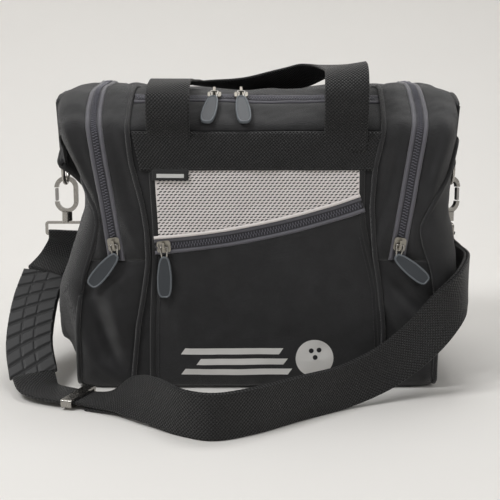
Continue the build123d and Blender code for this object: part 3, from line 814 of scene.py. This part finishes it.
# The mesh is knitted with staggered oval holes, over a black lining.
spacer_knit = grained("spacer_knit", (0.74, 0.70, 0.685), 0.75, 1400.0, 2.0, 0.5, 0.0003)[0]
hole_pitch, hole_row, hole_rib = 3.7, 2.5, 1.35
mesh_columns, mesh_rows, mesh_middle = 68, 34, 163
mesh_edges = ((-90.3, -1), (92.0, 1))
mesh_shape = bmesh.new()
bmesh.ops.create_grid(mesh_shape, x_segments=mesh_columns, y_segments=mesh_rows, size=0.5)
for point in mesh_shape.verts:
    column, row = (point.co.x + 0.5) * mesh_columns, (point.co.y + 0.5) * mesh_rows
    point.co = ((column + 0.5 * row - 0.5 * mesh_rows - mesh_columns / 2) * hole_pitch,
                0, (row - mesh_rows / 2) * hole_row + mesh_middle)
for edge_x, outwards in mesh_edges:
    bmesh.ops.bisect_plane(
        mesh_shape, geom=mesh_shape.verts[:] + mesh_shape.edges[:] + mesh_shape.faces[:],
        plane_co=(edge_x, 0, 0), plane_no=(outwards, 0, 0), clear_outer=True)
cells = [face for face in mesh_shape.faces
         if len(face.verts) == 4 and face.calc_area() > 0.9 * hole_pitch * hole_row]
bmesh.ops.inset_individual(mesh_shape, faces=cells, thickness=hole_rib / 2)
bmesh.ops.delete(mesh_shape, geom=cells, context="FACES")
hidden = []
for face in mesh_shape.faces:
    middle = face.calc_center_median()
    if middle.z < arc_height(middle.x) + 2 or middle.z > band_low + 3:
        hidden.append(face)
bmesh.ops.delete(mesh_shape, geom=hidden, context="FACES")
flat = np.array([point.co[:] for point in mesh_shape.verts])
on_front = pocket_place(flat[:, 0], flat[:, 2], 1.15 + 0.2 * wave_field(flat, 60, 9))[0] / 1000
for point, to in zip(mesh_shape.verts, on_front):
    point.co = to
bmesh.ops.recalc_face_normals(mesh_shape, faces=mesh_shape.faces)
mesh_knit = mesh_piece("mesh_panel_knit", mesh_shape)
finish_cloth(mesh_knit, spacer_knit, 0.8, replaces=["mesh_panel"])
rounding = mesh_knit.modifiers.new("rounding", "SUBSURF")
rounding.levels = rounding.render_levels = 1

arc_start, arc_end = (math.asin((x - arc_centre[0]) / arc_radius) for x in (-90, 93))
pocket_zip_length = arc_radius * (arc_end - arc_start)


def pocket_zip_centre(t, across):
    """A point of the pocket's zip, rising to the right; across is positive above it."""
    turn = arc_start + t / arc_radius
    reach = arc_radius - across
    return pocket_place(arc_centre[0] + reach * np.sin(turn),
                        arc_centre[1] - reach * np.cos(turn), 1.3)


pocket_strip = zip_strip("pocket_zip_tapes_cloth", pocket_zip_centre, pocket_zip_length,
                         "pocket_zip_tapes", roll=1.2)
pocket_strip.data.flip_normals()
zip_coil("pocket_zip_coil_turns", pocket_zip_centre, pocket_zip_length, "pocket_zip_coil")
rib_points, rib_away = pocket_zip_centre(spaced(pocket_zip_length, 2.5), zip_half + 0.9)
mesh_rib = tube("mesh_edge_rib", rib_points + rib_away * 1.5, 1.5)
finish_cloth(mesh_rib, spacer_knit, 0)

# ---- printed mark ----
# A plain screen print low on the pocket: a ball with three finger holes, and three stripes.

print_ink = material("print_ink", (0.70, 0.69, 0.67), 0.55)[0]


def print_patch(name, x_at, z_at, rows, columns, ink=print_ink, extra=0.15, closed=False):
    """A patch of ink that follows the pocket's cloth; x_at and z_at give its points."""

    def place(u, v):
        x, z = x_at(u, v), z_at(u, v)
        left, right = pocket_sides(z)
        up = (z - pocket_bottom) / (arc_height(x, under_zip) - pocket_bottom)
        return pocket_sheet(up, (x - left) / (right - left), extra)[0]

    patch = grid_piece(name, place, rows, columns, closed=closed, flip=True)
    finish_cloth(patch, ink, 0)


def print_disc(name, x, z, radius, rows, columns, ink=print_ink, extra=0.15):
    """A round patch of ink about a point of the pocket."""
    print_patch(name, lambda u, v: x + radius * u * np.cos(2 * np.pi * v),
                lambda u, v: z + radius * u * np.sin(2 * np.pi * v), rows, columns, ink, extra,
                closed=True)


stripe_width, slant = 5.6, 4
for index, (start, end, low) in enumerate(((-66, 22, 33), (-52, 26, 23.5), (-66, 30, 14))):
    print_patch(f"print_stripe_{index + 1}",
                lambda u, v: start + (end - start) * v + (u - 0.5) * slant,
                lambda u, v: low + stripe_width * u, 6, 50)
print_disc("print_ball", 52, 29, 17, 14, 48)
for index, (x, z) in enumerate(((49, 36), (56, 36.5), (52.5, 30))):
    print_disc(f"print_finger_hole_{index + 1}", x, z, 2.2, 3, 16, twill, 0.3)

# ---- webbing bands ----
# Wide polypropylene webbing across the front and the back, under the handles' ends, and a
# plain woven label caught under the front one.

# The webbing's paler thread tops are a painted highlight on the weave.
webbing = woven("black_webbing_cloth", (0.014, 0.014, 0.0145), 0.0030, 0.0007, 0.5, "UV",
                sheen=0.1, mottle=0.15, thread_top_highlight=1.2)
band_length, band_lift = 210, 2.1
for name, middle in (("front", (band_low + band_high) / 2),
                     ("rear", wrap_length - (band_low + band_high) / 2)):

    def band_centre(t, across):
        """A point of the band: t across the bag, across up it."""
        s = middle + across
        z = height_at(s)
        reach = np.minimum(-seam_x(inner_seam, -1, z), seam_x(inner_seam, 1, z)) - 1
        return wrap_point((2 * t / band_length - 1) * reach, s, band_lift)

    def band_place(u, v):
        """The band, with its woven edges a little thinner."""
        across = (v - 0.5) * (band_high - band_low)
        placed, away = band_centre(u * band_length, across)
        return placed + away * (0.5 * puffed(v, 0.08))[:, None]

    band = grid_piece(f"{name}_band_webbing", band_place, 100, 26,
                      size=(band_length, band_high - band_low))
    finish_cloth(band, webbing, 1.6, replaces=[f"{name}_band"])
    for row, across in (("low", -15.0), ("high", 15.0)):
        stitch_row(f"{name}_band_{row}_stitches", band_centre, band_length, across)

label_satin = woven("label_satin", (0.02, 0.02, 0.021), 0.0007, 0.00008, 0.45, mottle=0.1)
label_weave = woven("label_bar_weave", (0.62, 0.62, 0.61), 0.0007, 0.00008, 0.5, mottle=0.05)
# The label and its bar: the left edge and length, then the low edge, width and lift.
label_cloth = grid_piece(
    "side_label_cloth",
    lambda u, v: pocket_place(-91.5 + 32 * v, band_low + 1 - 9.6 * (1 - u), 3.1 - 0.5 * u)[0],
    8, 20, flip=True)
finish_cloth(label_cloth, label_satin, 0.5, replaces=["side_label"])
label_bar = grid_piece(
    "side_label_bar",
    lambda u, v: pocket_place(-87.5 + 24 * v, band_low - 6.2 + 3.4 * u,
                              3.25 - 0.5 * (0.4 + 0.35 * u))[0],
    3, 20, flip=True)
finish_cloth(label_bar, label_weave, 0)

# ---- carry handles ----
# Each is one length of the webbing, sewn under the band at both ends.  The front one lies back
# over the top, its right leg standing higher; the rear one hangs down the back.


def smooth_route(stations, step=2.5):
    """Points, widthways directions and thicknesses along stations, by a smooth curve."""
    points = np.array([place for place, across, thick in stations], float)
    across = np.array([across for place, across, thick in stations], float)
    across /= np.linalg.norm(across, axis=1)[:, None]
    thick = np.array([thick for place, across, thick in stations], float)
    rows = np.column_stack([points, across, thick])
    padded_rows = np.vstack([2 * rows[0] - rows[1], rows, 2 * rows[-1] - rows[-2]])
    run = []
    for index in range(1, len(rows)):
        a, b, c, d = padded_rows[index - 1:index + 3]
        count = max(int(np.linalg.norm(c[:3] - b[:3]) / step), 2)
        t = np.linspace(0, 1, count, endpoint=False)[:, None]
        cubic = 2 * a - 5 * b + 4 * c - d + t * (3 * (b - c) + d - a)
        run.append(b + 0.5 * t * (c - a + t * cubic))
    run = np.vstack([*run, rows[-1:]])
    along = np.gradient(run[:, :3], axis=0)
    along /= np.linalg.norm(along, axis=1)[:, None]
    across = run[:, 3:6] - along * (run[:, 3:6] * along).sum(1)[:, None]
    across /= np.linalg.norm(across, axis=1)[:, None]
    return run[:, :3], along, across, run[:, 6]


def webbing_strip(name, stations, width, sides=48, step=2.5, shift=0.0, texture=None):
    """A flat strap with rounded edges along stations of (middle, widthways, thickness)."""
    points, along, across, thick = smooth_route(stations, step)
    out = np.cross(along, across)
    points = points + out * shift
    count = len(points)
    length = np.linalg.norm(np.diff(points, axis=0), axis=1).sum()

    def place(u, v):
        at = np.clip(np.round(u * (count - 1)).astype(int), 0, count - 1)
        corners = (0, 0.02, 0.48, 0.5, 0.52, 0.98, 1)
        flat = np.interp(v, corners, (-1, -0.965, 0.965, 1, 0.965, -0.965, -1))
        rise = np.interp(v, corners, (0, 1, 1, 0, -1, -1, 0))
        half = thick[at] / 2
        extra = texture(u * length, flat * width / 2, rise) if texture else 0.0
        return (points[at] + across[at] * (flat * width / 2)[:, None]
                + out[at] * (rise * (half + extra))[:, None])

    return grid_piece(name, place, count - 1, sides, size=(length, 2 * width), closed=True,
                      capped=True)


webbing_width = 38
left_way, right_way = (1, 0, 0), (-1, 0, 0)
front_handle_stations = [
    ((-77, -118.4, 214), left_way, 2.4), ((-77, -119.8, 230), left_way, 2.4),
    ((-77, -123.6, 242), left_way, 2.8), ((-77, -124.0, 253), left_way, 2.8),
    ((-77, -119, 263.5), left_way, 2.8), ((-77, -106, 271.5), (1, 0, 0.05), 2.8),
    ((-77, -80, 275), left_way, 2.8), ((-78, -45, 275), left_way, 2.8),
    ((-77, -8, 274), left_way, 2.8), ((-73, 14, 273.5), (0.94, -0.34, 0.02), 2.8),
    ((-62, 28, 272), (0.55, -0.83, 0.05), 2.8), ((-44, 34, 271), (0.1, -1, 0.15), 2.8),
    ((-12, 36, 270.5), (0, -0.95, 0.3), 2.8), ((22, 37, 273.5), (0, -0.82, 0.57), 2.8),
    ((46, 36, 278.5), (-0.1, -0.78, 0.6), 2.8), ((63, 29, 284), (-0.55, -0.75, 0.3), 2.8),
    ((73, 14, 287.5), (-0.94, -0.34, 0.05), 2.8), ((77, -8, 288), (-1, 0, -0.04), 2.8),
    ((78, -45, 287.5), (-1, 0, -0.1), 2.8), ((78, -80, 287.5), (-1, 0, -0.16), 2.8),
    ((78, -102, 286), (-1, 0, -0.2), 2.8), ((77.5, -117, 278), (-1, 0, -0.16), 2.8),
    ((77, -125, 265), (-1, 0, -0.06), 2.8), ((77, -125.2, 250), right_way, 2.8),
    ((77, -122.5, 240), right_way, 2.8), ((77, -119.8, 230), right_way, 2.4),
    ((77, -118.4, 214), right_way, 2.4),
]
front_handle_webbing = webbing_strip("front_handle_webbing", front_handle_stations,
                                     webbing_width)
front_handle_webbing.data.materials.append(webbing)
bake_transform(front_handle_webbing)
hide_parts("front_handle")

rear_left_half = [
    ((-77, 118.4, 214), left_way, 2.4), ((-77, 119.4, 230), left_way, 2.4),
    ((-77, 121.5, 238), left_way, 2.8), ((-77, 124.3, 239), left_way, 2.8),
    ((-77, 126.0, 233), left_way, 2.8), ((-77, 126, 200), left_way, 2.8),
    ((-76, 127, 170), left_way, 2.8), ((-72, 127, 152), (0.92, 0, 0.4), 2.8),
    ((-60, 127, 141), (0.5, 0, 0.87), 2.8), ((-42, 126.5, 138), (0.1, 0, 1), 2.8),
    ((0, 126, 137), (0, 0, 1), 2.8),
]
rear_right_half = [((-x, y, z), (-across, out, up), thick)
                   for (x, y, z), (across, out, up), thick in rear_left_half[-2::-1]]
rear_handle_webbing = webbing_strip("rear_handle_webbing", rear_left_half + rear_right_half,
                                    webbing_width)
rear_handle_webbing.data.materials.append(webbing)
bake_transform(rear_handle_webbing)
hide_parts("rear_handle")

# ---- rings and their tabs ----
# Welded rings in short loops of narrow webbing that come out of the outer seam.

for word, ring_x, panel_x in (("left", -188, -158), ("right", 192, 170)):
    way = 1 if ring_x > 0 else -1
    tab_stations = [
        ((panel_x, 0, 210.5), (0, way, 0), 1.5), ((ring_x - way * 12, 0, 209), (0, way, 0), 1.5),
        ((ring_x, 0, 207), (0, way, 0), 1.5), ((ring_x + way * 2.9, 0, 204.2), (0, way, 0), 1.5),
        ((ring_x, 0, 201.2), (0, way, 0), 1.5), ((ring_x - way * 12, 0, 203.6), (0, way, 0), 1.5),
        ((panel_x, 0, 206.5), (0, way, 0), 1.5),
    ]
    tab = webbing_strip(f"{word}_ring_tab_webbing", tab_stations, 12, sides=20, step=1.5)
    finish_cloth(tab, webbing, 0, replaces=["ring_tabs"])

# ---- shoulder strap ----
# 38 mm webbing: a short end with a moulded pad on the left, and a doubled run that turns over
# in front of the bag and climbs to the right hook.

loop_bar = 126.6
strap_stations = [
    ((-188, 0, loop_bar), (1, 0, 0), 6.6), ((-189, -1, 114), (1, 0, 0), 5),
    ((-196, -9, 102), (1, 0, 0), 3.4), ((-206, -30, 90), (1, 0, 0), 5),
    ((-211, -58, 65), (1, 0, 0), 9), ((-210, -92, 36), (1, 0, 0), 9),
    ((-201, -121, 14), (1, 0, 0), 5), ((-192, -140, 7.5), (0.75, 0.66, 0), 2.4),
    ((-172, -152, 5.7), (0.324, 0.946, 0), 2.4), ((-137, -164, 5.7), (0.324, 0.946, 0), 2.4),
    ((-112, -182, 16), (0.3, 0.75, 0.55), 2.4), ((-88, -211, 20.2), (0.2, 0.3, 0.93), 2.4),
    ((-62, -239, 19.2), (0, 0, 1), 2.4), ((-34, -251, 19.2), (0, 0, 1), 2.4),
    ((-2, -236, 19.2), (0, 0, 1), 2.4), ((36, -205, 19.2), (0, 0, 1), 2.4),
    ((76, -175, 20.2), (-0.1, 0, 0.99), 2.4), ((114, -154, 32), (-0.55, 0, 0.83), 2.4),
    ((144, -146, 54), (-0.7, 0.05, 0.7), 2.4), ((166, -137, 76), (-0.7, -0.1, 0.7), 2.4),
    ((184, -120, 93), (-0.3, -0.45, 0.84), 2.4), ((194, -84, 100), (0, -0.3, 0.95), 2.4),
    ((194, -45, 102), (0, -0.3, 0.95), 2.4), ((193, -16, 105), (0, -0.75, 0.66), 2.4),
    ((192, -2, 118), (0, -1, 0.1), 4), ((192, 0, loop_bar), (0, -1, 0), 6.6),
]


under_outer_layer = -3.2
for name, first, last, shift in (("left_strap_end", 0, 4, 0.0), ("strap_outer_layer", 6, 26, 0.0),
                                 ("strap_inner_layer", 9, 23, under_outer_layer)):
    layer = webbing_strip(f"{name}_webbing", strap_stations[first:last], webbing_width, shift=shift)
    finish_cloth(layer, webbing, 0, "shoulder_strap", [name])

pad_rubber = grained("pad_rubber_moulded", (0.0135, 0.0138, 0.015), 0.5, 900.0, 3.0, 0.3, 0.0002)[0]
pad_width = 43


def pad_grooves(run, across, side):
    """The pad's slanted bars, cut by grooves and crossed by two fine channels."""
    slant, spacing = 0.45, 14.0
    bar = ((run + slant * across) / spacing) % 1.0
    cut = np.exp(-(np.minimum(bar, 1 - bar) / 0.085) ** 2) * 1.8
    channel = sum(np.exp(-((across - at) / 0.7) ** 2) for at in (-7.0, 5.0)) * 0.8
    rim = np.clip((pad_width / 2 - np.abs(across)) / 2.0, 0, 1)
    return -np.maximum(cut, channel) * rim * (np.abs(side) > 0.5)


pad = webbing_strip("shoulder_pad_rubber", strap_stations[3:7], pad_width, sides=120, step=0.9,
                    texture=pad_grooves)
finish_cloth(pad, pad_rubber, 0, "shoulder_strap", ["shoulder_pad"])

# ---- pulls ----
# Rubber tabs moulded onto the wire loops, with a raised rim round a plain sunken face. The rim and
# sides are painted a lighter grey than the face, a painted highlight on the raised edge.

tab_rubber = grained("pull_tab_rubber", (0.036, 0.042, 0.05), 0.45, 700.0, 3.0, 0.25, 0.00015)[0]
# The rim's lighter blue-grey is a painted highlight; the rubber is the same as the face's.
tab_rim_painted_highlight = material("pull_tab_rim_painted_highlight", (0.12, 0.135, 0.15), 0.45)[0]
blunt_ends, full_sides = 0.55, 0.62
top_half_width, widening = 0.0049, 0.0017


def cad_points(name):
    """The points of a CAD node, in metres."""
    return np.array([point.co[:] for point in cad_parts[name].data.vertices])


for name in ("top_left", "top_right", "front", "left", "right"):
    corners, loop_points = cad_points(f"{name}_pull_tab"), cad_points(f"{name}_pull_loop")
    middle = (corners.max(0) + corners.min(0)) / 2
    spread = np.cov((corners - corners.mean(0)).T)
    axes = np.linalg.eigh(spread)[1].T[::-1]
    length_way = axes[0] * np.sign((corners.mean(0) - loop_points.mean(0)) @ axes[0])
    normal_way = axes[2] * (-1 if axes[2] @ (0, -1, 0.3) < 0 else 1)
    width_way = np.cross(normal_way, length_way)
    local = np.stack([(corners - middle) @ way for way in (length_way, width_way, normal_way)], 1)
    start, end = local[:, 0].min(), local[:, 0].max()
    half_thick = local[:, 2].max()
    shape = bmesh.new()
    outline = bmesh.ops.create_circle(shape, cap_ends=True, segments=56, radius=1.0)["verts"]
    for point in outline:
        turn = math.atan2(point.co.y, point.co.x)
        ahead = math.copysign(abs(math.cos(turn)) ** blunt_ends, math.cos(turn))
        share = (ahead + 1) / 2
        half_wide = top_half_width + widening * min(share / 0.5, 1.0)
        wide = math.copysign(abs(math.sin(turn)) ** full_sides, math.sin(turn))
        point.co = (start + (end - start) * share, half_wide * wide, -half_thick)
    back = shape.faces[:]
    front = bmesh.ops.extrude_face_region(shape, geom=back)["geom"]
    bmesh.ops.translate(shape, vec=(0, 0, 2 * half_thick),
                        verts=[part for part in front if isinstance(part, bmesh.types.BMVert)])
    bmesh.ops.recalc_face_normals(shape, faces=shape.faces)
    flats = [face for face in shape.faces if len(face.verts) > 6]
    bmesh.ops.inset_region(shape, faces=flats, thickness=0.0011, depth=0.0004)
    bmesh.ops.inset_region(shape, faces=flats, thickness=0.0005, depth=-0.0007)
    # Every face but the two flat faces takes the rim's painted highlight.
    for face in shape.faces:
        if face not in flats:
            face.material_index = 1
    for point in shape.verts:
        x, y, z = point.co
        point.co = (Vector(middle) + x * Vector(length_way) + y * Vector(width_way)
                    + z * Vector(normal_way))
    tab = mesh_piece(f"{name}_pull_tab_moulding", shape)
    tab.data.materials.append(tab_rubber)
    tab.data.materials.append(tab_rim_painted_highlight)
    for face in tab.data.polygons:
        face.use_smooth = len(face.vertices) <= 6
    rounded = tab.modifiers.new("rounded", "BEVEL")
    rounded.width, rounded.segments, rounded.limit_method = 0.0003, 2, "ANGLE"
    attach(tab, f"{name}_pull")
    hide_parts(f"{name}_pull_tab")

# ---- metalwork ----
# Nickel-plated rings, hooks, loops and adjuster, and die-cast sliders, rubbed a little dull.


def plated(name, base, roughness):
    """Plated metal with fine wear in its shine."""
    made, nodes, links, shader = grained(name, base, roughness, 260.0, 5.0, 0.15, 0.0001)
    shader.inputs["Metallic"].default_value = 1.0
    wear = nodes["Noise Texture"]
    range_of = node(nodes, "ShaderNodeMapRange")
    range_of.inputs["To Min"].default_value = roughness - 0.1
    range_of.inputs["To Max"].default_value = roughness + 0.16
    links.new(wear.outputs["Fac"], range_of.inputs["Value"])
    links.new(range_of.outputs["Result"], shader.inputs["Roughness"])
    return made


nickel = plated("nickel_plate", (0.38, 0.365, 0.34), 0.22)
slider_metal = plated("slider_die_cast", (0.34, 0.32, 0.28), 0.3)
gate_steel = plated("gate_steel", (0.36, 0.35, 0.34), 0.3)
board_grey = woven("board_fibre", (0.09, 0.085, 0.08), 0.002, 0.0002, 0.8)
foam_grey = woven("cup_foam", (0.12, 0.12, 0.125), 0.003, 0.0004, 0.85)
finishes = {
    "strap_rings": nickel, "left_hook_body": nickel, "right_hook_body": nickel,
    "left_hook_gate": gate_steel, "right_hook_gate": gate_steel,
    "left_strap_loop": nickel, "right_strap_loop": nickel, "strap_adjuster": nickel,
    "left_divider": polyester, "right_divider": polyester,
    "base_board": board_grey, "foam_ball_cup": foam_grey,
}
for name in ("top_left", "top_right", "front", "left", "right"):
    finishes[f"{name}_slider"] = slider_metal
    finishes[f"{name}_pull_loop"] = nickel
for name, finish_material in finishes.items():
    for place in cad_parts[name].material_slots:
        place.material = finish_material
